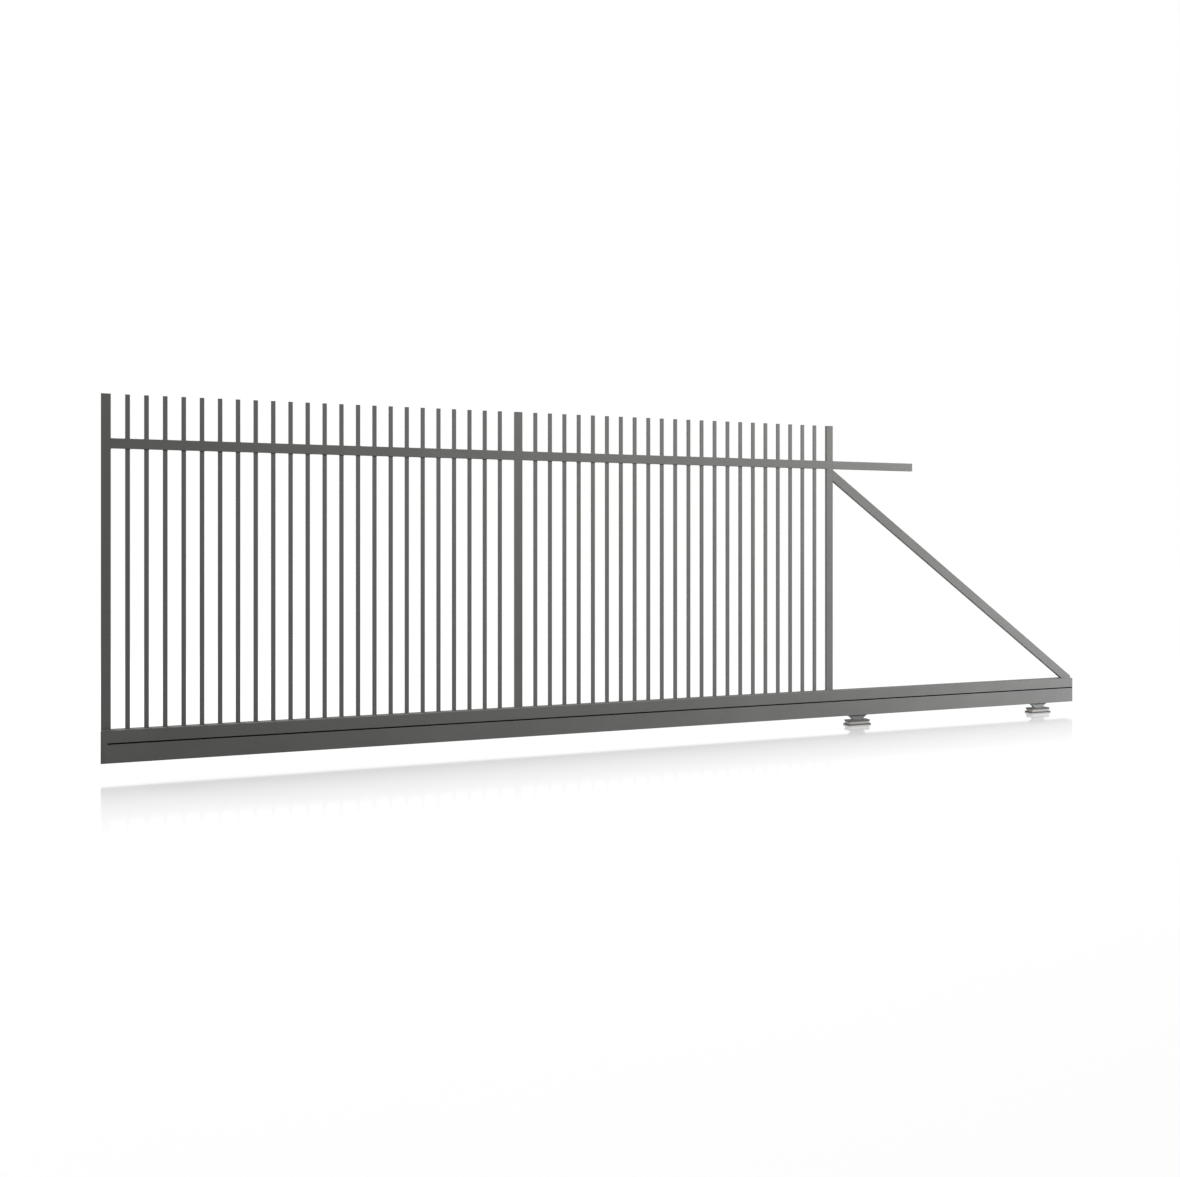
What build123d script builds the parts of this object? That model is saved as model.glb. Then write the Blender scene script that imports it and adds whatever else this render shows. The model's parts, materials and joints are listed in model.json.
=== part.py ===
import os
from math import atan2, cos, tan

from build123d import *

# A self-supporting sliding gate leaf on its two roller carriages.
# X runs along the gate towards the tail, Y through it, Z up, all in millimetres.
# The origin is the middle of the front carriage's anchor plate, on its underside.

# Leaf as a whole, measured from its leading end
LEAF_HEIGHT = 1650.0  # underside of the guide rail to the tops of stiles and bars
LEAF_LENGTH = 5542.0  # leading end to the end of the tail
FRONT_CARRIAGE_AT = 3980.0  # leading end to the middle of the front carriage
CARRIAGE_SPACING = 1315.0
TAIL_RAIL_LENGTH = 544.0  # top rail past the right stile
TUBE_CORNER = 1.0  # outer corner radius of the drawn tubes

# Carriage, from the ground up
ANCHOR_PLATE = (150.0, 60.0, 8.0)
SPACER_PLATE = (132.0, 52.0, 13.0)
CARRIAGE_PLATE = (138.0, 56.0, 8.0)
PLATE_CORNER = 4.0
ANCHOR_HOLE_RADIUS = 6.5
ANCHOR_HOLE_SPACING = (100.0, 32.0)
WEB_THICKNESS = 12.0
WEB_FOOT = 64.0  # width of the web where it stands on the carriage plate
WEB_NECK = 140.0  # width of the web at the rail's underside
WEB_HEAD = 150.0  # width of the web inside the rail, round the axles
WEB_VISIBLE_HEIGHT = 29.0
WEB_SIDE_RADIUS = 120.0
AXLE_RADIUS = 7.0
AXLE_SPACING = 84.0
AXLE_LENGTH = 46.0
WHEEL_RADIUS = 36.5
WHEEL_WIDTH = 14.0
WHEEL_INNER_Y = 8.0
WHEEL_CHAMFER = 1.5
PIN_CLEARANCE = 0.05

# Guide rail, joint and bottom member
GUIDE_HEIGHT = 84.0
GUIDE_DEPTH = 60.0
GUIDE_WALL = 5.0
GUIDE_SLOT = 24.0
GUIDE_CORNER = 2.5
JOINT_HEIGHT = 6.5
JOINT_DEPTH = 40.0
MEMBER_HEIGHT = 55.5
MEMBER_DEPTH = 60.0
MEMBER_WALL = 3.0
END_BLOCK_LENGTH = 27.0  # closes the leading end of rail, joint and bottom member
GUIDE_CAP = 5.0
MEMBER_CAP = 3.0

# Stiles, top rail and brace
STILE_WIDTH = 40.0
STILE_DEPTH = 20.0
STILE_WALL = 2.0
STILE_CAP = 3.0
MIDDLE_STILE_AT = 1944.5  # leading end to the stile's centre line
RIGHT_STILE_AT = 3790.5
TOP_RAIL_HEIGHT = 45.0
TOP_RAIL_DEPTH = 20.0
TOP_RAIL_WALL = 2.0
OVERHANG = 199.0  # stiles and bars above the top rail
BRACE_WIDTH = 50.0
BRACE_GAP = 5.0  # brace's upper edge below the top rail, at the stile
BRACE_END_RISE = 13.0  # brace's upper edge above the bottom member, at the tail's end

# Bars
BAR_WIDTH = 20.0
BAR_DEPTH = 10.0
BAR_WALL = 1.5
BAR_CAP = 2.0
BAR_PITCH = 79.0
BAR_HOLE_CLEARANCE = 0.2
LEFT_BAY_BARS = 23
LEFT_BAY_FIRST = 109.5  # leading end to the first bar's centre line
RIGHT_BAY_BARS = 22
RIGHT_BAY_FIRST = 2036.0

# Heights that follow
PLATE_STACK = ANCHOR_PLATE[2] + SPACER_PLATE[2] + CARRIAGE_PLATE[2]
RAIL_BOTTOM = PLATE_STACK + WEB_VISIBLE_HEIGHT
RAIL_TOP = RAIL_BOTTOM + GUIDE_HEIGHT
MEMBER_BOTTOM = RAIL_TOP + JOINT_HEIGHT
MEMBER_TOP = MEMBER_BOTTOM + MEMBER_HEIGHT
LEAF_TOP = RAIL_BOTTOM + LEAF_HEIGHT
TOP_RAIL_TOP = LEAF_TOP - OVERHANG
TOP_RAIL_BOTTOM = TOP_RAIL_TOP - TOP_RAIL_HEIGHT
AXLE_HEIGHT = RAIL_BOTTOM + GUIDE_HEIGHT / 2

# Places along the gate that follow
LEADING_END = -FRONT_CARRIAGE_AT
TAIL_END = LEADING_END + LEAF_LENGTH
RAIL_START = LEADING_END + END_BLOCK_LENGTH
LEFT_STILE_X = LEADING_END + STILE_WIDTH / 2
MIDDLE_STILE_X = LEADING_END + MIDDLE_STILE_AT
RIGHT_STILE_X = LEADING_END + RIGHT_STILE_AT
BRACE_START = RIGHT_STILE_X + STILE_WIDTH / 2
TAIL_RAIL_END = BRACE_START + TAIL_RAIL_LENGTH


def save(piece, name):
    piece.part.label = name
    export_step(piece.part, f"parts/{name}.step")


def bar_centres(first, count):
    return [LEADING_END + first + i * BAR_PITCH for i in range(count)]


def upright_plane(x):
    """The gate's own plane, drawn as seen from the front, with x at its middle."""
    return Plane(origin=(x, 0, 0), x_dir=(1, 0, 0), z_dir=(0, -1, 0))


def plate_with_holes(x, bottom, size):
    """A flat plate of the carriage stack, drilled for the anchor bolts."""
    with BuildPart() as plate:
        with BuildSketch(Plane((x, 0, bottom))):
            RectangleRounded(size[0], size[1], PLATE_CORNER)
            with GridLocations(*ANCHOR_HOLE_SPACING, 2, 2):
                Circle(ANCHOR_HOLE_RADIUS, mode=Mode.SUBTRACT)
        extrude(amount=size[2])
    return plate


def carriage_web(x):
    """The upright plate that rises through the rail's slot and carries the axles."""
    foot = PLATE_STACK
    neck_top = RAIL_BOTTOM + GUIDE_WALL
    shoulder = neck_top + (WEB_HEAD - WEB_NECK) / 2
    head = AXLE_HEIGHT + AXLE_RADIUS * 2
    with BuildPart() as web:
        with BuildSketch(upright_plane(x)):
            with BuildLine():
                Line((0, foot), (WEB_FOOT / 2, foot))
                RadiusArc((WEB_FOOT / 2, foot), (WEB_NECK / 2, RAIL_BOTTOM), WEB_SIDE_RADIUS)
                Line((WEB_NECK / 2, RAIL_BOTTOM), (WEB_NECK / 2, neck_top))
                Line((WEB_NECK / 2, neck_top), (WEB_HEAD / 2, shoulder))
                Line((WEB_HEAD / 2, shoulder), (WEB_HEAD / 2, head))
                Line((WEB_HEAD / 2, head), (0, head))
                Line((0, head), (0, foot))
            make_face()
            mirror(about=Plane.YZ)
            with Locations((-AXLE_SPACING / 2, AXLE_HEIGHT), (AXLE_SPACING / 2, AXLE_HEIGHT)):
                Circle(AXLE_RADIUS + PIN_CLEARANCE, mode=Mode.SUBTRACT)
        extrude(amount=WEB_THICKNESS / 2, both=True)
    return web


def carriage_axles(x):
    with BuildPart() as axles:
        with BuildSketch(upright_plane(x)):
            with Locations((-AXLE_SPACING / 2, AXLE_HEIGHT), (AXLE_SPACING / 2, AXLE_HEIGHT)):
                Circle(AXLE_RADIUS)
        extrude(amount=AXLE_LENGTH / 2, both=True)
    return axles


def carriage_wheels(x):
    """Four wheels, two to an axle, that fill the guide rail from lip to roof."""
    with BuildPart() as wheels:
        for side in (-1, 1):
            with BuildSketch(upright_plane(x).offset(side * WHEEL_INNER_Y)):
                with Locations((-AXLE_SPACING / 2, AXLE_HEIGHT), (AXLE_SPACING / 2, AXLE_HEIGHT)):
                    Circle(WHEEL_RADIUS)
                    Circle(AXLE_RADIUS + PIN_CLEARANCE, mode=Mode.SUBTRACT)
            extrude(amount=side * WHEEL_WIDTH)
        rims = wheels.edges().filter_by(lambda edge: edge.length > 2 * WHEEL_RADIUS)
        chamfer(rims, WHEEL_CHAMFER)
    return wheels


def tube_along_gate(start, end, middle_z, height, depth, wall):
    """A rectangular tube lying along X."""
    with BuildPart() as tube:
        with BuildSketch(Plane.YZ.offset(start)):
            with Locations((0, middle_z)):
                RectangleRounded(depth, height, TUBE_CORNER)
                Rectangle(depth - 2 * wall, height - 2 * wall, mode=Mode.SUBTRACT)
        extrude(amount=end - start)
    return tube


def top_rail(start, end, bars):
    """A length of top rail, punched above and below for the bars that pass through it."""
    middle = (TOP_RAIL_TOP + TOP_RAIL_BOTTOM) / 2
    with BuildPart() as rail:
        with BuildSketch(Plane.YZ.offset(start)):
            with Locations((0, middle)):
                RectangleRounded(TOP_RAIL_DEPTH, TOP_RAIL_HEIGHT, TUBE_CORNER)
                Rectangle(
                    TOP_RAIL_DEPTH - 2 * TOP_RAIL_WALL,
                    TOP_RAIL_HEIGHT - 2 * TOP_RAIL_WALL,
                    mode=Mode.SUBTRACT,
                )
        extrude(amount=end - start)
        if bars:
            with BuildSketch(Plane.XY.offset(TOP_RAIL_BOTTOM)):
                with Locations(*[(x, 0) for x in bars]):
                    RectangleRounded(
                        BAR_WIDTH + 2 * BAR_HOLE_CLEARANCE,
                        BAR_DEPTH + 2 * BAR_HOLE_CLEARANCE,
                        TUBE_CORNER,
                    )
            extrude(amount=TOP_RAIL_HEIGHT, mode=Mode.SUBTRACT)
    return rail


def uprights(centres, width, depth, wall, cap):
    """Upright tubes that stand on the bottom member and stop a cap's thickness below the leaf's top."""
    with BuildPart() as tubes:
        with BuildSketch(Plane.XY.offset(MEMBER_TOP)):
            with Locations(*[(x, 0) for x in centres]):
                RectangleRounded(width, depth, TUBE_CORNER)
                Rectangle(width - 2 * wall, depth - 2 * wall, mode=Mode.SUBTRACT)
        extrude(amount=LEAF_TOP - cap - MEMBER_TOP)
    return tubes


def caps(centres, width, depth, thickness):
    """Flat caps on the tops of upright tubes."""
    with BuildPart() as lids:
        with BuildSketch(Plane.XY.offset(LEAF_TOP - thickness)):
            with Locations(*[(x, 0) for x in centres]):
                RectangleRounded(width, depth, TUBE_CORNER)
        extrude(amount=thickness)
    return lids


def end_plate(x, middle_z, height, depth, thickness):
    """A flat plate that closes the tail end of a rail, its outer face at x."""
    with BuildPart() as plate:
        with BuildSketch(Plane.YZ.offset(x - thickness)):
            with Locations((0, middle_z)):
                RectangleRounded(depth, height, TUBE_CORNER)
        extrude(amount=thickness)
    return plate


def brace_band(inset):
    """Outline of the brace from the stile's face to the bottom member, thinned by inset each side."""
    start_z = TOP_RAIL_BOTTOM - BRACE_GAP
    end_z = MEMBER_TOP + BRACE_END_RISE
    angle = atan2(start_z - end_z, TAIL_END - BRACE_START)
    upper = inset / cos(angle)
    lower = (BRACE_WIDTH - inset) / cos(angle)
    return [
        (BRACE_START, start_z - upper),
        (TAIL_END - inset, end_z - upper + inset * tan(angle)),
        (TAIL_END - inset, MEMBER_TOP),
        (TAIL_END - (lower - BRACE_END_RISE) / tan(angle), MEMBER_TOP),
        (BRACE_START, start_z - lower),
    ]


os.makedirs("parts", exist_ok=True)

# Roller carriages, which stay on the ground
for place, carriage_x in (("front", 0.0), ("rear", CARRIAGE_SPACING)):
    spacer_bottom = ANCHOR_PLATE[2]
    plate_bottom = spacer_bottom + SPACER_PLATE[2]
    save(plate_with_holes(carriage_x, 0, ANCHOR_PLATE), f"{place}_anchor_plate")
    save(plate_with_holes(carriage_x, spacer_bottom, SPACER_PLATE), f"{place}_spacer_plate")
    save(plate_with_holes(carriage_x, plate_bottom, CARRIAGE_PLATE), f"{place}_carriage_plate")
    save(carriage_web(carriage_x), f"{place}_carriage_web")
    save(carriage_axles(carriage_x), f"{place}_carriage_axles")
    save(carriage_wheels(carriage_x), f"{place}_carriage_wheels")

# Guide rail: a C open below, where the carriages reach in
with BuildPart() as guide_rail:
    with BuildSketch(Plane.YZ.offset(RAIL_START)):
        with Locations((0, (RAIL_BOTTOM + RAIL_TOP) / 2)):
            RectangleRounded(GUIDE_DEPTH, GUIDE_HEIGHT, GUIDE_CORNER)
            Rectangle(
                GUIDE_DEPTH - 2 * GUIDE_WALL,
                GUIDE_HEIGHT - 2 * GUIDE_WALL,
                mode=Mode.SUBTRACT,
            )
        with Locations((0, RAIL_BOTTOM)):
            Rectangle(GUIDE_SLOT, 2 * GUIDE_WALL, mode=Mode.SUBTRACT)
    extrude(amount=TAIL_END - GUIDE_CAP - RAIL_START)
save(guide_rail, "guide_rail")

# Narrow strip between the rail and the bottom member, seen as a dark line
with BuildPart() as joint_strip:
    with BuildSketch(Plane.YZ.offset(RAIL_START)):
        with Locations((0, (RAIL_TOP + MEMBER_BOTTOM) / 2)):
            Rectangle(JOINT_DEPTH, JOINT_HEIGHT)
    extrude(amount=TAIL_END - RAIL_START)
save(joint_strip, "joint_strip")

# Block that closes the leading end, under the left stile
with BuildPart() as leading_end_block:
    with BuildSketch(Plane.YZ.offset(LEADING_END)):
        with Locations((0, (RAIL_BOTTOM + MEMBER_TOP) / 2)):
            RectangleRounded(GUIDE_DEPTH, MEMBER_TOP - RAIL_BOTTOM, GUIDE_CORNER)
    extrude(amount=END_BLOCK_LENGTH)
save(leading_end_block, "leading_end_block")

member_middle = (MEMBER_BOTTOM + MEMBER_TOP) / 2
rail_middle = (RAIL_BOTTOM + RAIL_TOP) / 2
bottom_member = tube_along_gate(
    RAIL_START, TAIL_END - MEMBER_CAP, member_middle, MEMBER_HEIGHT, MEMBER_DEPTH, MEMBER_WALL
)
save(bottom_member, "bottom_member")
save(
    end_plate(TAIL_END, member_middle, MEMBER_HEIGHT, MEMBER_DEPTH, MEMBER_CAP),
    "bottom_member_tail_cap",
)
save(
    end_plate(TAIL_END, rail_middle, GUIDE_HEIGHT, GUIDE_DEPTH, GUIDE_CAP),
    "guide_rail_tail_cap",
)

# Stiles and their caps
stile_section = (STILE_WIDTH, STILE_DEPTH, STILE_WALL, STILE_CAP)
stile_centres = {"left": LEFT_STILE_X, "middle": MIDDLE_STILE_X, "right": RIGHT_STILE_X}
for place, stile_x in stile_centres.items():
    save(uprights([stile_x], *stile_section), f"{place}_stile")
save(caps(stile_centres.values(), STILE_WIDTH, STILE_DEPTH, STILE_CAP), "stile_caps")

# Bars and their caps, one node for each bay
bays = {
    "left_bay": bar_centres(LEFT_BAY_FIRST, LEFT_BAY_BARS),
    "right_bay": bar_centres(RIGHT_BAY_FIRST, RIGHT_BAY_BARS),
}
for bay, centres in bays.items():
    save(uprights(centres, BAR_WIDTH, BAR_DEPTH, BAR_WALL, BAR_CAP), f"{bay}_bars")
    save(caps(centres, BAR_WIDTH, BAR_DEPTH, BAR_CAP), f"{bay}_bar_caps")

# Top rail: a length in each bay and one that runs on over the tail
half_stile = STILE_WIDTH / 2
save(
    top_rail(LEFT_STILE_X + half_stile, MIDDLE_STILE_X - half_stile, bays["left_bay"]),
    "left_bay_top_rail",
)
save(
    top_rail(MIDDLE_STILE_X + half_stile, RIGHT_STILE_X - half_stile, bays["right_bay"]),
    "right_bay_top_rail",
)
save(top_rail(BRACE_START, TAIL_RAIL_END - STILE_CAP, []), "tail_top_rail")
save(
    end_plate(
        TAIL_RAIL_END,
        (TOP_RAIL_TOP + TOP_RAIL_BOTTOM) / 2,
        TOP_RAIL_HEIGHT,
        TOP_RAIL_DEPTH,
        STILE_CAP,
    ),
    "tail_top_rail_cap",
)

# Diagonal brace: from the corner under the top rail to the very end of the tail
with BuildPart() as diagonal_brace:
    with BuildSketch(Plane.XZ):
        Polygon(*brace_band(0), align=None)
    extrude(amount=TOP_RAIL_DEPTH / 2, both=True)
    with BuildSketch(Plane.XZ):
        Polygon(*brace_band(TOP_RAIL_WALL), align=None)
    extrude(amount=TOP_RAIL_DEPTH / 2 - TOP_RAIL_WALL, both=True, mode=Mode.SUBTRACT)
save(diagonal_brace, "diagonal_brace")
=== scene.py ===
import json
from math import atan2, cos, exp, pi, radians, sin, tan

import bmesh
import bpy
from mathutils import Matrix, Vector


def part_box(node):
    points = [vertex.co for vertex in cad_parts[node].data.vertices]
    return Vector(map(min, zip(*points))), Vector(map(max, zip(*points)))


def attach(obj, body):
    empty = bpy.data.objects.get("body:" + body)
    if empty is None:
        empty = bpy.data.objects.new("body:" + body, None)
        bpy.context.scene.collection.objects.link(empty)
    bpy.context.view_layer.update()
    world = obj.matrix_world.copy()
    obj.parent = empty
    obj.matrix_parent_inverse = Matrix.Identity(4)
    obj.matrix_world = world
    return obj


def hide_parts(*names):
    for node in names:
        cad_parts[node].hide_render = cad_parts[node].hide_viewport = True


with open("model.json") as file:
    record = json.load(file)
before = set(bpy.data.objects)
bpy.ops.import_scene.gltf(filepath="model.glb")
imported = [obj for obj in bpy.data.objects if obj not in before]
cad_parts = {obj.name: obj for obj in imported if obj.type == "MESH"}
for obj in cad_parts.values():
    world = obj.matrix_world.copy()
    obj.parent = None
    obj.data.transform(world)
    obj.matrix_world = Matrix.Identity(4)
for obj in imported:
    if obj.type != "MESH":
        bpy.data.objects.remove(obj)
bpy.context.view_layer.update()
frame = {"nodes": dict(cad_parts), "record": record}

MM = 0.001

# Camera: where the picture was taken from, in the gate's own frame
CAMERA_PLACE = (-3.6884, -5.3655, 1.0291)
CAMERA_TURN = radians(20.857)  # from looking straight at the gate, towards its tail
CAMERA_LENS_MM = 33.56
CAMERA_SENSOR_MM = 36.0
CAMERA_SHIFT_Y = -0.03645

# Studio: each lamp's place, aim and size in metres, and its power in watts. Key and fill are
# set so that the leaf darkens towards its leading end at rest, as in the picture.
KEY_LAMP = ((3.5, -3.7, 1.7), (4.2, 0.0, 1.7), 1.6, 590.0)
FILL_LAMP = ((-0.4, -3.0, 5.4), (-0.7, 0.0, 4.9), 2.0, 455.0)
BACK_LAMP = ((-6.6, 3.6, 2.4), (-0.5, 0.0, 1.0), 2.2, 520.0)
KEY_TINT = (0.915, 0.95, 1.0)
FILL_TINT = (0.985, 0.99, 1.0)
AMBIENT = 0.155  # the world's light on the object, where the eye sees it as white
FLOOR_HALF = 60.0
FLOOR_GLOSS = 0.64  # share of the floor's surface that mirrors, under the gate
GLOSS_REACH = 0.6  # metres to either side over which that share falls by a factor e
GLOSS_ENDS = 1.45  # metres to either side where it ends
GLOSS_ROUGHNESS = 0.1
FLOOR_WHITE_NEAR = 0.955  # the floor's own light, up to the first distance below
FLOOR_WHITE_FAR = 1.0
FLOOR_NEAR_ENDS = 5.0  # metres from the origin
FLOOR_FAR_STARTS = 14.0

# Finishes
COAT_GRAIN_MM = 3.0  # the real texture is about 0.4 mm, drawn coarser so that it shows close up
COAT_SPECK = 0.08  # how far a grain shifts the coat's tone between its dark and its pale colour
COAT_CLOUD_MM = 260.0
CAP_GRAIN_MM = 1.2
BRUSH_MM = 1.5
BRUSH_ALONG = 12.0  # streaks to a metre of the plate's length
SEAL_LINES = (2.0, 600.0, 600.0)  # lines to a metre along the seal and across it
ZINC_SPANGLE_MM = 6.0
TURNING_MM = 2 * pi  # spacing of the rings, far coarser than a tool's real feed so that they show
WAVE_TURN = 20.0  # how far Blender's wave bands turn, in radians, over one unit at scale 1
WELD_RIPPLE_MM = 2.6

# Details that the solids leave out
CAP_EDGE = 0.8 * MM
WELD_LEG = 2.2 * MM
WEB_WELD_LEG = 4.0 * MM
SCREW_HEAD = 4.2 * MM  # radius
SCREW_SOCKET = 1.9 * MM
SEAL_LIP = 1.2 * MM
SEAL_REACH_INTO_SHADE = 9.3 * MM  # how far its lips run out past the solid strip, to near the gap's mouth, where their black is partly painted shade in the joint
WHEEL_BORE = 16.0 * MM  # radius of the seat for the bearing
WHEEL_EDGE = 1.5 * MM
WHEEL_RIM = 5.5 * MM
WHEEL_SINK = 3.0 * MM  # how deep its sides are turned in between hub and rim
AXLE_BORE = 7.1 * MM
BEARING_RING = 2.0 * MM  # width of its outer ring, and how far it sits inside the wheel
BEARING_SEAL = 2.6 * MM  # how far its seals do
AXLE_EDGE = 0.8 * MM
WEB_FOOT_HALF = 32.0 * MM
BRACE_WIDTH = 50.0 * MM
BRACE_END_RISE = 13.0 * MM
WHEEL_STEPS = 48


def linear(hex_colour):
    """An sRGB hex colour as linear RGBA."""
    values = [int(hex_colour[i:i + 2], 16) / 255 for i in (1, 3, 5)]
    return [v / 12.92 if v <= 0.04045 else ((v + 0.055) / 1.055) ** 2.4 for v in values] + [1.0]


def node(tree, kind, inputs=(), **settings):
    """Adds a node; an input's value is a number, a colour or another node's socket."""
    added = tree.nodes.new(kind)
    for name, value in settings.items():
        setattr(added, name, value)
    for name, value in dict(inputs).items():
        if isinstance(value, bpy.types.NodeSocket):
            tree.links.new(value, added.inputs[name])
        else:
            added.inputs[name].default_value = value
    return added


def new_material(name):
    material = bpy.data.materials.new(name)
    material.use_nodes = True
    material.node_tree.nodes.clear()
    return material, material.node_tree


def finish_material(tree, shader):
    node(tree, "ShaderNodeOutputMaterial", {"Surface": shader.outputs[0]})


def powder_coat(name, pale, dark, ripple=False):
    """Anthracite polyester powder on aluminium, sprayed and baked: a dull, finely pebbled
    skin whose sheen is broken up into soft clouds."""
    material, tree = new_material(name)
    place = node(tree, "ShaderNodeTexCoord").outputs["Object"]
    clouds = node(tree, "ShaderNodeTexNoise", {
        "Vector": place, "Scale": 1 / (COAT_CLOUD_MM * MM), "Detail": 3.0, "Roughness": 0.6})
    grain = node(tree, "ShaderNodeTexNoise", {
        "Vector": place, "Scale": 1 / (COAT_GRAIN_MM * MM), "Detail": 2.0, "Roughness": 0.65})
    speck = node(tree, "ShaderNodeMapRange", {
        "Value": grain.outputs["Fac"], "From Min": 0.25, "From Max": 0.75,
        "To Min": -COAT_SPECK, "To Max": COAT_SPECK})
    tone = node(tree, "ShaderNodeMath", {
        0: clouds.outputs["Fac"], 1: speck.outputs["Result"]}, operation="ADD")
    colour = node(tree, "ShaderNodeMixRGB", {
        "Fac": tone.outputs[0], "Color1": linear(dark), "Color2": linear(pale)})
    rough = node(tree, "ShaderNodeMapRange", {
        "Value": clouds.outputs["Fac"], "From Min": 0.3, "From Max": 0.7, "To Min": 0.62, "To Max": 0.74})
    bump = node(tree, "ShaderNodeBump", {
        "Strength": 0.06, "Distance": 0.12 * MM, "Height": grain.outputs["Fac"]})
    if ripple:
        beads = node(tree, "ShaderNodeTexVoronoi", {
            "Vector": place, "Scale": 1 / (WELD_RIPPLE_MM * MM)}, feature="SMOOTH_F1")
        bump = node(tree, "ShaderNodeBump", {
            "Strength": 0.7, "Distance": 0.6 * MM, "Height": beads.outputs["Distance"],
            "Normal": bump.outputs["Normal"]}, invert=True)
    shader = node(tree, "ShaderNodeBsdfPrincipled", {
        "Base Color": colour.outputs["Color"], "Roughness": rough.outputs["Result"],
        "Normal": bump.outputs["Normal"], "Specular IOR Level": 0.15})
    finish_material(tree, shader)
    return material


def moulded_plastic(name, hex_colour, roughness):
    """Injection-moulded polyamide: evenly dark, with the fine spark-eroded grain of its mould."""
    material, tree = new_material(name)
    place = node(tree, "ShaderNodeTexCoord").outputs["Object"]
    grain = node(tree, "ShaderNodeTexNoise", {
        "Vector": place, "Scale": 1 / (CAP_GRAIN_MM * MM), "Detail": 2.0})
    bump = node(tree, "ShaderNodeBump", {
        "Strength": 0.25, "Distance": 0.1 * MM, "Height": grain.outputs["Fac"]})
    rough = node(tree, "ShaderNodeMapRange", {
        "Value": grain.outputs["Fac"], "To Min": roughness - 0.06, "To Max": roughness + 0.06})
    shader = node(tree, "ShaderNodeBsdfPrincipled", {
        "Base Color": linear(hex_colour), "Roughness": rough.outputs["Result"],
        "Normal": bump.outputs["Normal"]})
    finish_material(tree, shader)
    return material


def rubber_seal_with_painted_shade(name):
    """Black EPDM strip, extruded: almost no shine, faint lines along its length. Its colour is darker
    than rubber's, as painted shade in the joint it sits in.
    """
    material, tree = new_material(name)
    place = node(tree, "ShaderNodeTexCoord").outputs["Object"]
    along = node(tree, "ShaderNodeMapping", {"Vector": place, "Scale": SEAL_LINES})
    lines = node(tree, "ShaderNodeTexNoise", {"Vector": along.outputs["Vector"], "Scale": 1.0})
    bump = node(tree, "ShaderNodeBump", {
        "Strength": 0.3, "Distance": 0.1 * MM, "Height": lines.outputs["Fac"]})
    shader = node(tree, "ShaderNodeBsdfPrincipled", {
        "Base Color": linear("#0B0B0A"), "Roughness": 0.95, "Specular IOR Level": 0.1,
        "Normal": bump.outputs["Normal"]})
    finish_material(tree, shader)
    return material


def painted_steel(name):
    """Hot-rolled steel plate under grey-brown primer: dull, with brush streaks along X."""
    material, tree = new_material(name)
    place = node(tree, "ShaderNodeTexCoord").outputs["Object"]
    along = node(tree, "ShaderNodeMapping", {
        "Vector": place, "Scale": (BRUSH_ALONG, 1 / (BRUSH_MM * MM), 1 / (BRUSH_MM * MM))})
    streaks = node(tree, "ShaderNodeTexNoise", {
        "Vector": along.outputs["Vector"], "Scale": 1.0, "Detail": 3.0})
    colour = node(tree, "ShaderNodeMixRGB", {
        "Fac": streaks.outputs["Fac"], "Color1": linear("#3C3A38"), "Color2": linear("#56524F")})
    bump = node(tree, "ShaderNodeBump", {
        "Strength": 0.3, "Distance": 0.15 * MM, "Height": streaks.outputs["Fac"]})
    shader = node(tree, "ShaderNodeBsdfPrincipled", {
        "Base Color": colour.outputs["Color"], "Roughness": 0.5, "Normal": bump.outputs["Normal"]})
    finish_material(tree, shader)
    return material


def zinc_plate(name):
    """Zinc-plated steel: pale metal, clouded by the crystals of its passivated skin."""
    material, tree = new_material(name)
    place = node(tree, "ShaderNodeTexCoord").outputs["Object"]
    crystals = node(tree, "ShaderNodeTexVoronoi", {
        "Vector": place, "Scale": 1 / (ZINC_SPANGLE_MM * MM)})
    rough = node(tree, "ShaderNodeMapRange", {
        "Value": crystals.outputs["Distance"], "To Min": 0.5, "To Max": 0.62})
    colour = node(tree, "ShaderNodeMixRGB", {
        "Fac": crystals.outputs["Distance"], "Color1": linear("#A09D98"), "Color2": linear("#8E8B87")})
    shader = node(tree, "ShaderNodeBsdfPrincipled", {
        "Base Color": colour.outputs["Color"], "Metallic": 0.3,
        "Roughness": rough.outputs["Result"]})
    finish_material(tree, shader)
    return material


def turned_steel(name):
    """Bright axle steel, turned on a lathe: rings across its length, some shinier than others."""
    material, tree = new_material(name)
    place = node(tree, "ShaderNodeTexCoord").outputs["Object"]
    rings = node(tree, "ShaderNodeTexWave", {
        "Vector": place, "Scale": 2 * pi / (TURNING_MM * MM) / WAVE_TURN, "Distortion": 0.4},
        bands_direction="Y")
    rough = node(tree, "ShaderNodeMapRange", {
        "Value": rings.outputs["Fac"], "To Min": 0.22, "To Max": 0.36})
    shader = node(tree, "ShaderNodeBsdfPrincipled", {
        "Base Color": linear("#B4B4B2"), "Metallic": 1.0, "Roughness": rough.outputs["Result"]})
    finish_material(tree, shader)
    return material


def plated_screw_steel(name):
    """Bright zinc-plated steel, ground and rolled: even, lightly mottled shine."""
    material, tree = new_material(name)
    place = node(tree, "ShaderNodeTexCoord").outputs["Object"]
    mottle = node(tree, "ShaderNodeTexNoise", {
        "Vector": place, "Scale": 1 / (COAT_GRAIN_MM * MM), "Detail": 2.0})
    rough = node(tree, "ShaderNodeMapRange", {
        "Value": mottle.outputs["Fac"], "To Min": 0.28, "To Max": 0.42})
    shader = node(tree, "ShaderNodeBsdfPrincipled", {
        "Base Color": linear("#A9A9A7"), "Metallic": 1.0, "Roughness": rough.outputs["Result"]})
    finish_material(tree, shader)
    return material


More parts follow.
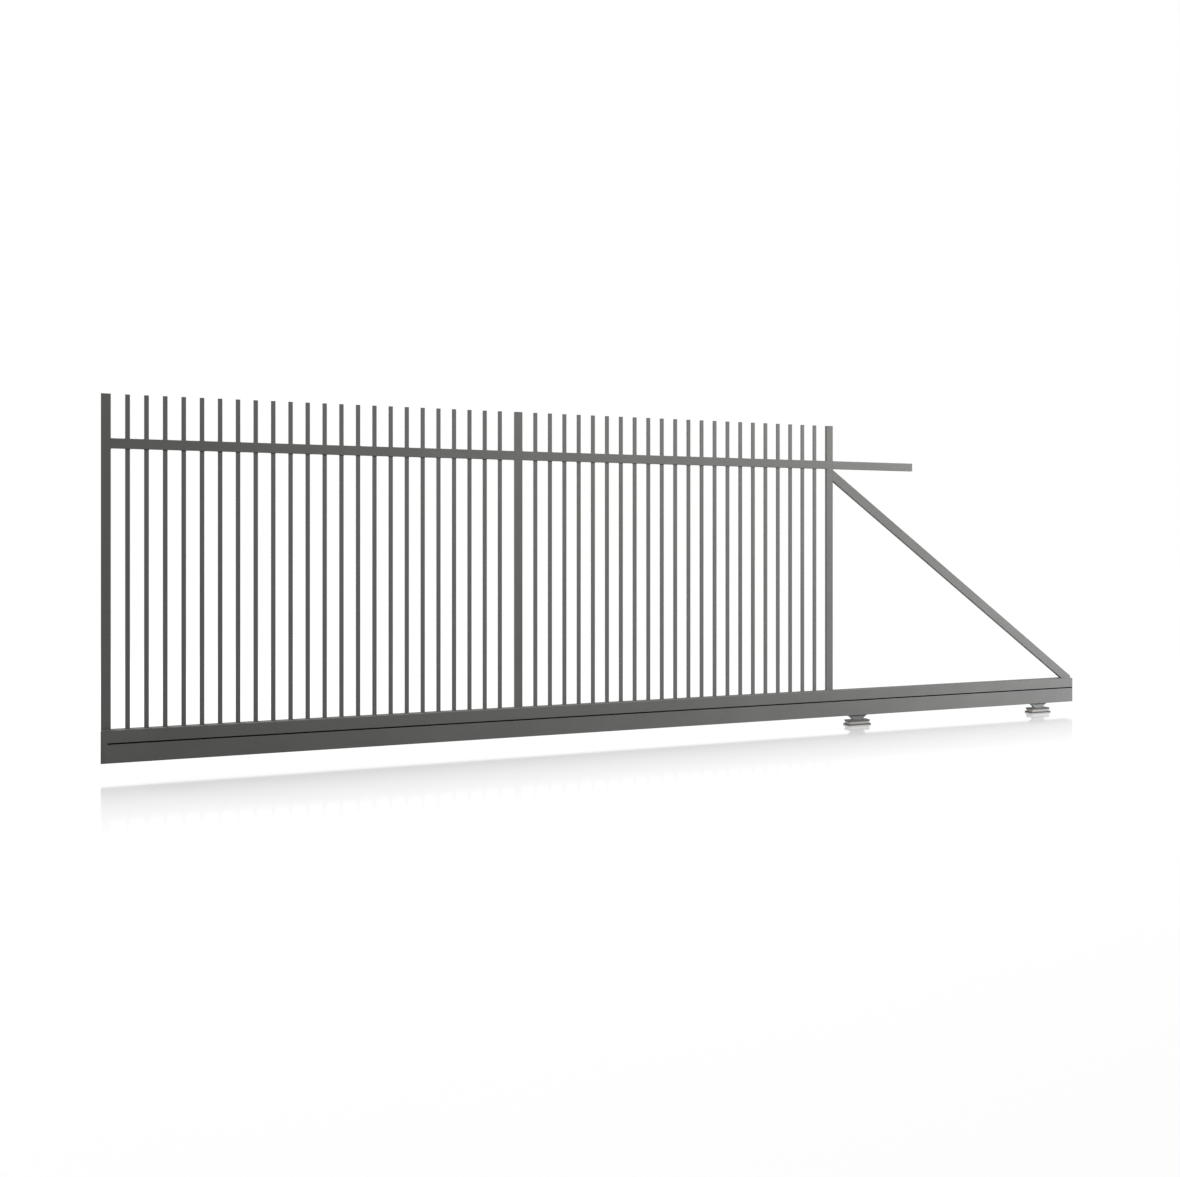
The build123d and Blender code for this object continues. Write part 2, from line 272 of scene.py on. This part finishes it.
coat = powder_coat("powder_coated_aluminium", "#686764", "#5C5B59")
weld_coat = powder_coat("powder_coated_weld", "#686764", "#5C5B59", ripple=True)
# The carriage webs' coat and their welds are paler than the gate's coat: painted light, standing in for
# the light that the rail's shade keeps off them.
web_coat_with_painted_light = powder_coat("web_paint_with_painted_light", "#7E7D7A", "#727170")
web_weld_with_painted_light = powder_coat("web_weld_paint_with_painted_light", "#7E7D7A", "#727170", ripple=True)
cap_plastic = moulded_plastic("moulded_polyamide_cap", "#3C3C3B", 0.5)
seal_material_with_painted_shade = rubber_seal_with_painted_shade("joint_seal_rubber_and_painted_shade")
plate_paint = painted_steel("painted_steel_plate")
spacer_zinc = zinc_plate("zinc_plated_steel")
axle_steel = turned_steel("turned_axle_steel")
screw_steel = plated_screw_steel("zinc_plated_screws")
wheel_nylon = moulded_plastic("cast_nylon_wheel", "#2E2E30", 0.42)

finish_of_slot = {
    "powder_coated_aluminium": coat,
    "web_paint": web_coat_with_painted_light,
    "end_cap_plastic": cap_plastic,
    "joint_seal": seal_material_with_painted_shade,
    "carriage_steel": plate_paint,
    "spacer_steel": spacer_zinc,
    "axle_steel": axle_steel,
    "roller_nylon": wheel_nylon,
}
for part in frame["record"]["subparts"]:
    mesh = frame["nodes"][part["node"]].data
    mesh.materials.clear()
    mesh.materials.append(finish_of_slot[part["material_slot"]])


def finished(shape, name, body, material, stands_for=(), sharp=radians(35)):
    """Turns a bmesh into a piece that rides on a body."""
    bmesh.ops.recalc_face_normals(shape, faces=shape.faces)
    for edge in shape.edges:
        edge.smooth = len(edge.link_faces) == 2 and edge.calc_face_angle(0.0) < sharp
    for face in shape.faces:
        face.smooth = True
    mesh = bpy.data.meshes.new(name)
    shape.to_mesh(mesh)
    shape.free()
    mesh.materials.append(material)
    piece = bpy.data.objects.new(name, mesh)
    bpy.context.scene.collection.objects.link(piece)
    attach(piece, body)
    if stands_for:
        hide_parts(*stands_for)
    return piece


def islands(node_name):
    """The lowest and highest corner of each loose solid in a CAD node."""
    shape = bmesh.new()
    shape.from_mesh(frame["nodes"][node_name].data)
    bmesh.ops.remove_doubles(shape, verts=shape.verts, dist=0.01 * MM)
    boxes, seen = [], set()
    for start in shape.verts:
        if start in seen:
            continue
        group, queue = [], [start]
        seen.add(start)
        while queue:
            vert = queue.pop()
            group.append(vert.co.copy())
            for edge in vert.link_edges:
                other = edge.other_vert(vert)
                if other not in seen:
                    seen.add(other)
                    queue.append(other)
        low = Vector([min(p[i] for p in group) for i in range(3)])
        high = Vector([max(p[i] for p in group) for i in range(3)])
        boxes.append((low, high))
    shape.free()
    return sorted(boxes, key=lambda box: box[0].x)


def add_block(shape, low, high, bevel, segments=2):
    """A block between two corners with all its edges rounded."""
    place = Matrix.Translation((low + high) / 2) @ Matrix.Diagonal((*(high - low), 1.0))
    made = bmesh.ops.create_cube(shape, size=1.0, matrix=place)
    edges = {edge for vert in made["verts"] for edge in vert.link_edges}
    bmesh.ops.bevel(shape, geom=list(edges), offset=bevel, offset_type="OFFSET", affect="EDGES",
                    segments=segments, profile=0.5, material=-1)


def facing(faces, direction):
    """The largest of these faces that looks in a direction."""
    return max((f for f in faces if f.normal.dot(direction) > 0.999), key=lambda f: f.calc_area())


def add_end_piece(shape, low, high, corner, rim, out, border, sink):
    """A plate or block that closes the end of a rail: corners rounded along the gate, rim
    eased, and its outer face sunk a little inside a border."""
    place = Matrix.Translation((low + high) / 2) @ Matrix.Diagonal((*(high - low), 1.0))
    bmesh.ops.create_cube(shape, size=1.0, matrix=place)
    shape.normal_update()
    along = [e for e in shape.edges if abs(e.verts[0].co.x - e.verts[1].co.x) > MM]
    face = facing(shape.faces, out)
    bmesh.ops.inset_individual(shape, faces=[face], thickness=border, depth=0.0)
    bmesh.ops.inset_individual(shape, faces=[face], thickness=sink, depth=-sink)
    bmesh.ops.bevel(shape, geom=along, offset=corner, offset_type="OFFSET", affect="EDGES",
                    segments=4, profile=0.5, material=-1)
    shape.normal_update()
    outline = [e for e in shape.edges if sorted(round(abs(f.normal.dot(out)), 3) for f in e.link_faces)
               == [0.0, 1.0] and (e.verts[0].co - (low + high) / 2).dot(out) > 0]
    bmesh.ops.bevel(shape, geom=outline, offset=rim, offset_type="OFFSET", affect="EDGES",
                    segments=3, profile=0.5, material=-1)


def add_screw(shape, place, out, rise):
    """A button-head screw with a socket, standing on a face."""
    turn = out.to_track_quat("Z", "Y").to_matrix().to_4x4()
    made = bmesh.ops.create_circle(shape, cap_ends=True, segments=18, radius=SCREW_HEAD,
                                   matrix=Matrix.Translation(place) @ turn)
    base = made["verts"][0].link_faces[0]
    head = bmesh.ops.extrude_face_region(shape, geom=[base])["geom"]
    bmesh.ops.translate(shape, verts=[v for v in head if isinstance(v, bmesh.types.BMVert)],
                        vec=out * rise * 0.4)
    shape.normal_update()
    top = next(f for f in head if isinstance(f, bmesh.types.BMFace))
    if top.normal.dot(out) < 0:
        top.normal_flip()
    bmesh.ops.inset_individual(shape, faces=[top], thickness=SCREW_HEAD * 0.3, depth=rise * 0.6)
    ring = SCREW_HEAD * 0.7 - SCREW_SOCKET
    bmesh.ops.inset_individual(shape, faces=[top], thickness=ring, depth=0.0)
    bmesh.ops.inset_individual(shape, faces=[top], thickness=SCREW_SOCKET * 0.1, depth=-rise * 0.8)


def add_bead(shape, start, end, side_a, side_b, leg):
    """A weld from start to end in the corner between two faces, which run off along side_a
    and side_b."""
    middle = (side_a + side_b) * leg * 0.6
    corner = [Vector(), side_a * leg, middle, side_b * leg]
    section = shape.faces.new([shape.verts.new(start + point) for point in corner])
    drawn = bmesh.ops.extrude_face_region(shape, geom=[section])["geom"]
    bmesh.ops.translate(shape, verts=[v for v in drawn if isinstance(v, bmesh.types.BMVert)],
                        vec=end - start)


def add_collar(shape, low, high, z, up, leg):
    """The weld all round an upright tube where it meets a level face at height z."""
    spread = Vector((leg, leg, 0))
    reach = Vector((0, 0, leg * up))
    floor_low, floor_high = low.copy() - spread, high.copy() + spread
    floor_low.z = floor_high.z = z
    size = floor_high - floor_low
    middle = (floor_low + floor_high) / 2 + reach / 2
    made = bmesh.ops.create_cube(shape, size=1.0, matrix=Matrix.Translation(middle)
                                 @ Matrix.Diagonal((size.x, size.y, leg, 1.0)))
    far = [v for v in made["verts"] if (v.co.z - z) * up > leg / 2]
    upright = {e for v in far for e in v.link_edges if e.other_vert(v) not in far}
    bmesh.ops.scale(shape, verts=far, vec=(1 - 2 * leg / size.x, 1 - 2 * leg / size.y, 1.0),
                    space=Matrix.Translation(-middle))
    waist = bmesh.ops.subdivide_edges(shape, edges=list(upright), cuts=1, use_grid_fill=True)
    rounded = [v for v in waist["geom_inner"] if isinstance(v, bmesh.types.BMVert)]
    bulge = leg * 0.24
    bmesh.ops.scale(shape, verts=rounded, space=Matrix.Translation(-middle),
                    vec=(1 + bulge / size.x, 1 + bulge / size.y, 1.0))


def add_turned(shape, centre, profile, closed):
    """A shape turned about a line along Y; the profile's points are its radius and its Y."""
    verts = [shape.verts.new((centre.x + radius, y, centre.z)) for radius, y in profile]
    line = [shape.edges.new(pair) for pair in zip(verts, verts[1:])]
    if closed:
        line.append(shape.edges.new((verts[-1], verts[0])))
    bmesh.ops.spin(shape, geom=verts + line, cent=centre, axis=(0, 1, 0), angle=2 * pi,
                   steps=WHEEL_STEPS, use_merge=True)
    bmesh.ops.remove_doubles(shape, verts=shape.verts, dist=0.001 * MM)


# Moulded caps on the tops of bars and stiles
for node_name in ("left_bay_bar_caps", "right_bay_bar_caps", "stile_caps"):
    shape = bmesh.new()
    for low, high in islands(node_name):
        add_block(shape, low, high, CAP_EDGE)
    finished(shape, f"moulded_{node_name}", "leaf", cap_plastic, [node_name])

# Plate that closes the free end of the top rail
shape = bmesh.new()
low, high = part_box("tail_top_rail_cap")
add_end_piece(shape, low, high, 1.5 * MM, 0.8 * MM, Vector((1, 0, 0)), 2.5 * MM, 0.5 * MM)
finished(shape, "top_rail_end_plate", "leaf", coat, ["tail_top_rail_cap"])

# Plates on the tail end and the block on the leading end, held by socket screws in a sunk panel
for name, node_name, out, corner, border, sink, screws in (
    ("guide_rail_end_plate", "guide_rail_tail_cap", 1, 2.5, 7.0, 1.0, ((16, 23), (16, -23))),
    ("member_end_plate", "bottom_member_tail_cap", 1, 1.5, 6.0, 1.0, ((15, 0),)),
    ("leading_block", "leading_end_block", -1, 2.5, 7.0, 1.2, ((15, 52), (15, -52))),
):
    shape = bmesh.new()
    low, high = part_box(node_name)
    outwards = Vector((out, 0, 0))
    add_end_piece(shape, low, high, corner * MM, 0.8 * MM, outwards, border * MM, sink * MM)
    finished(shape, name, "leaf", coat, [node_name])
    shape = bmesh.new()
    face_x = (high.x if out > 0 else low.x) - out * sink * MM
    for aside, rise in screws:
        for side in (-1, 1):
            place = Vector((face_x, side * aside * MM, (low.z + high.z) / 2 + rise * MM))
            add_screw(shape, place, outwards, sink * MM * 0.9)
    finished(shape, f"{name}_screws", "leaf", screw_steel)

# Rubber strip in the joint, with a lip along each of its edges. The lips run out nearly to the joint's
# mouth, so that their black also stands in as painted shade in the gap.
shape = bmesh.new()
low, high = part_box("joint_strip")
lip = Vector((0, SEAL_REACH_INTO_SHADE, 0))
add_block(shape, low - lip, high + lip, 0.4 * MM)
shape.normal_update()
for out in (-1, 1):
    face = facing(shape.faces, Vector((0, out, 0)))
    bmesh.ops.inset_individual(shape, faces=[face], thickness=SEAL_LIP, depth=0.0)
    bmesh.ops.inset_individual(shape, faces=[face], thickness=SEAL_LIP / 3, depth=-SEAL_LIP)
finished(shape, "grooved_joint_seal_with_painted_shade", "leaf", seal_material_with_painted_shade, ["joint_strip"])

# Welds at the feet of bars and stiles and where bars pass through the top rail
member_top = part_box("bottom_member")[1].z
rail_low, rail_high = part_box("left_bay_top_rail")
for bay in ("left_bay", "right_bay"):
    shape = bmesh.new()
    for low, high in islands(f"{bay}_bars"):
        add_collar(shape, low, high, member_top, 1, WELD_LEG)
        add_collar(shape, low, high, rail_high.z, 1, WELD_LEG)
        add_collar(shape, low, high, rail_low.z, -1, WELD_LEG)
    finished(shape, f"{bay}_bar_welds", "leaf", weld_coat)

# Welds of the stiles to the bottom member and to the rails that end at them
shape = bmesh.new()
for place in ("left", "middle", "right"):
    low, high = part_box(f"{place}_stile")
    if place == "left":
        low.x += WELD_LEG  # its outer face is flush with the end block and ground smooth
    add_collar(shape, low, high, member_top, 1, WELD_LEG)
up = Vector((0, 0, 1))
for rail, end, out in (
    ("left_bay_top_rail", 0, 1), ("left_bay_top_rail", 1, -1), ("right_bay_top_rail", 0, 1),
    ("right_bay_top_rail", 1, -1), ("tail_top_rail", 0, 1),
):
    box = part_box(rail)
    outwards = Vector((out, 0, 0))
    for z, side in ((box[0].z, -up), (box[1].z, up)):
        add_bead(shape, Vector((box[end].x, box[0].y, z)), Vector((box[end].x, box[1].y, z)),
                 outwards, side, WELD_LEG)
finished(shape, "stile_welds", "leaf", weld_coat)

# Welds of the brace to the right stile and to the bottom member
shape = bmesh.new()
brace_low, brace_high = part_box("diagonal_brace")
slope = atan2(brace_high.z - brace_low.z - BRACE_END_RISE, brace_high.x - brace_low.x)
down = Vector((cos(slope), 0, -sin(slope)))
under = brace_high.z - BRACE_WIDTH / cos(slope)
toe = brace_low.x + (under - brace_low.z) / tan(slope)
depth = Vector((0, brace_high.y - brace_low.y, 0))
for start, side_a, side_b in (
    (Vector((brace_low.x, brace_low.y, brace_high.z)), down, up),
    (Vector((brace_low.x, brace_low.y, under)), down, -up),
    (Vector((toe, brace_low.y, brace_low.z)), Vector((-1, 0, 0)), -down),
):
    add_bead(shape, start, start + depth, side_a, side_b, WELD_LEG)
for y, out in ((brace_low.y, -1), (brace_high.y, 1)):
    add_bead(shape, Vector((toe, y, brace_low.z)), Vector((brace_high.x - WELD_LEG, y, brace_low.z)),
             Vector((0, out, 0)), up, WELD_LEG)
finished(shape, "brace_welds", "leaf", weld_coat)

# Carriages: welds at the webs' feet, wheels with their bearings, and axles with eased ends
for place in ("front", "rear"):
    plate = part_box(f"{place}_carriage_plate")
    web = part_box(f"{place}_carriage_web")
    middle = (plate[0].x + plate[1].x) / 2
    shape = bmesh.new()
    for y, out in ((web[0].y, -1), (web[1].y, 1)):
        add_bead(shape, Vector((middle - WEB_FOOT_HALF, y, web[0].z)),
                 Vector((middle + WEB_FOOT_HALF, y, web[0].z)), Vector((0, out, 0)), up, WEB_WELD_LEG)
    finished(shape, f"{place}_web_welds", "carriages", web_weld_with_painted_light)

    wheels, bearings, axles = bmesh.new(), bmesh.new(), bmesh.new()
    boxes = islands(f"{place}_carriage_wheels")
    for low, high in boxes:
        centre = (low + high) / 2
        radius = (high.x - low.x) / 2
        near, far = low.y, high.y
        add_turned(wheels, Vector((centre.x, 0, centre.z)), [
            (WHEEL_BORE, near + WHEEL_EDGE), (WHEEL_BORE + 3 * MM, near + WHEEL_EDGE),
            (WHEEL_BORE + 4 * MM, near + WHEEL_SINK), (radius - 7 * MM, near + WHEEL_SINK),
            (radius - WHEEL_RIM, near), (radius - WHEEL_EDGE, near), (radius, near + WHEEL_EDGE),
            (radius, far - WHEEL_EDGE), (radius - WHEEL_EDGE, far), (radius - WHEEL_RIM, far),
            (radius - 7 * MM, far - WHEEL_SINK), (WHEEL_BORE + 4 * MM, far - WHEEL_SINK),
            (WHEEL_BORE + 3 * MM, far - WHEEL_EDGE), (WHEEL_BORE, far - WHEEL_EDGE)], True)
        add_turned(bearings, Vector((centre.x, 0, centre.z)), [
            (AXLE_BORE, near + BEARING_RING), (AXLE_BORE + 2.5 * MM, near + BEARING_RING),
            (AXLE_BORE + 3 * MM, near + BEARING_SEAL), (WHEEL_BORE - 2.5 * MM, near + BEARING_SEAL),
            (WHEEL_BORE - BEARING_RING, near + BEARING_RING), (WHEEL_BORE, near + BEARING_RING),
            (WHEEL_BORE, far - BEARING_RING), (WHEEL_BORE - BEARING_RING, far - BEARING_RING),
            (WHEEL_BORE - 2.5 * MM, far - BEARING_SEAL), (AXLE_BORE + 3 * MM, far - BEARING_SEAL),
            (AXLE_BORE + 2.5 * MM, far - BEARING_RING), (AXLE_BORE, far - BEARING_RING)], True)
    for low, high in islands(f"{place}_carriage_axles"):
        centre = (low + high) / 2
        radius = (high.z - low.z) / 2
        add_turned(axles, Vector((centre.x, 0, centre.z)), [
            (0, low.y), (radius - AXLE_EDGE, low.y), (radius, low.y + AXLE_EDGE),
            (radius, high.y - AXLE_EDGE), (radius - AXLE_EDGE, high.y), (0, high.y)], False)
    finished(wheels, f"{place}_turned_wheels", "carriages", wheel_nylon,
             [f"{place}_carriage_wheels"])
    finished(bearings, f"{place}_wheel_bearings", "carriages", screw_steel)
    finished(axles, f"{place}_turned_axles", "carriages", axle_steel,
             [f"{place}_carriage_axles"])

# Floor, white, with the object's shadow and, near the gate, its fading reflection. To the
# object itself it is a plain grey floor, so that it throws back no more light than that.
floor_shape = bmesh.new()
bmesh.ops.create_grid(floor_shape, x_segments=1, y_segments=1, size=FLOOR_HALF)
floor_mesh = bpy.data.meshes.new("studio_floor")
floor_shape.to_mesh(floor_mesh)
floor_shape.free()
floor = bpy.data.objects.new("studio_floor", floor_mesh)
bpy.context.scene.collection.objects.link(floor)

floor_material, tree = new_material("white_studio_floor")
path = node(tree, "ShaderNodeLightPath")
shown = node(tree, "ShaderNodeMath", {
    0: path.outputs["Is Camera Ray"], 1: path.outputs["Is Glossy Ray"]}, operation="MAXIMUM")
place = node(tree, "ShaderNodeTexCoord").outputs["Object"]
beside = node(tree, "ShaderNodeMath", {
    0: node(tree, "ShaderNodeSeparateXYZ", {"Vector": place}).outputs["Y"]}, operation="ABSOLUTE")
reach = node(tree, "ShaderNodeMath", {
    0: beside.outputs[0], 1: -1 / GLOSS_REACH}, operation="MULTIPLY")
fade = node(tree, "ShaderNodeMath", {0: reach.outputs[0]}, operation="EXPONENT")
polish = node(tree, "ShaderNodeMapRange", {
    "Value": fade.outputs[0], "From Min": exp(-GLOSS_ENDS / GLOSS_REACH), "From Max": 1.0,
    "To Min": 0.0, "To Max": FLOOR_GLOSS})
away = node(tree, "ShaderNodeVectorMath", {0: place}, operation="LENGTH")
whiteness = node(tree, "ShaderNodeMapRange", {
    "Value": away.outputs["Value"], "From Min": FLOOR_NEAR_ENDS, "From Max": FLOOR_FAR_STARTS,
    "To Min": FLOOR_WHITE_NEAR, "To Max": FLOOR_WHITE_FAR})
plain = node(tree, "ShaderNodeBsdfDiffuse", {"Color": linear("#ACACAA")})
lift = node(tree, "ShaderNodeEmission", {
    "Color": (1, 1, 1, 1), "Strength": whiteness.outputs["Result"]})
shade = node(tree, "ShaderNodeBsdfDiffuse", {"Color": linear("#505050")})
lifted = node(tree, "ShaderNodeAddShader", {0: lift.outputs[0], 1: shade.outputs[0]})
gloss = node(tree, "ShaderNodeBsdfGlossy", {"Color": (1, 1, 1, 1), "Roughness": GLOSS_ROUGHNESS})
white = node(tree, "ShaderNodeMixShader", {
    0: polish.outputs["Result"], 1: lifted.outputs[0], 2: gloss.outputs[0]})
finish_material(tree, node(tree, "ShaderNodeMixShader", {
    0: shown.outputs[0], 1: plain.outputs[0], 2: white.outputs[0]}))
floor_mesh.materials.append(floor_material)

# World: white to the camera and in reflections, an even grey fill to the object
world = bpy.data.worlds.new("studio_world")
world.use_nodes = True
tree = world.node_tree
tree.nodes.clear()
path = node(tree, "ShaderNodeLightPath")
seen = node(tree, "ShaderNodeMath", {
    0: path.outputs["Is Camera Ray"], 1: path.outputs["Is Glossy Ray"]}, operation="MAXIMUM")
strength = node(tree, "ShaderNodeMapRange", {
    "Value": seen.outputs[0], "To Min": AMBIENT, "To Max": 1.0})
sky = node(tree, "ShaderNodeBackground", {
    "Color": (1, 1, 1, 1), "Strength": strength.outputs["Result"]})
node(tree, "ShaderNodeOutputWorld", {"Surface": sky.outputs[0]})
bpy.context.scene.world = world


def soft_lamp(name, tint, place, aim, size, power):
    """A round lamp that lights the gate but shows neither to the camera nor in reflections."""
    lamp = bpy.data.lights.new(name, "AREA")
    lamp.shape = "DISK"
    lamp.size = size
    lamp.energy = power
    lamp.color = tint
    holder = bpy.data.objects.new(name, lamp)
    holder.location = place
    holder.rotation_euler = (Vector(aim) - Vector(place)).to_track_quat("-Z", "Y").to_euler()
    holder.visible_camera = False
    holder.visible_glossy = False
    bpy.context.scene.collection.objects.link(holder)


soft_lamp("key", KEY_TINT, *KEY_LAMP)
soft_lamp("fill", FILL_TINT, *FILL_LAMP)
soft_lamp("back", FILL_TINT, *BACK_LAMP)

camera_data = bpy.data.cameras.new("camera")
camera_data.sensor_fit = "HORIZONTAL"
camera_data.sensor_width = CAMERA_SENSOR_MM
camera_data.lens = CAMERA_LENS_MM
camera_data.shift_y = CAMERA_SHIFT_Y
camera_data.clip_end = 300.0
camera = bpy.data.objects.new("camera", camera_data)
camera.location = CAMERA_PLACE
camera.rotation_euler = (pi / 2, 0.0, -CAMERA_TURN)
bpy.context.scene.collection.objects.link(camera)
bpy.context.scene.camera = camera
bpy.context.scene.view_settings.view_transform = "Standard"
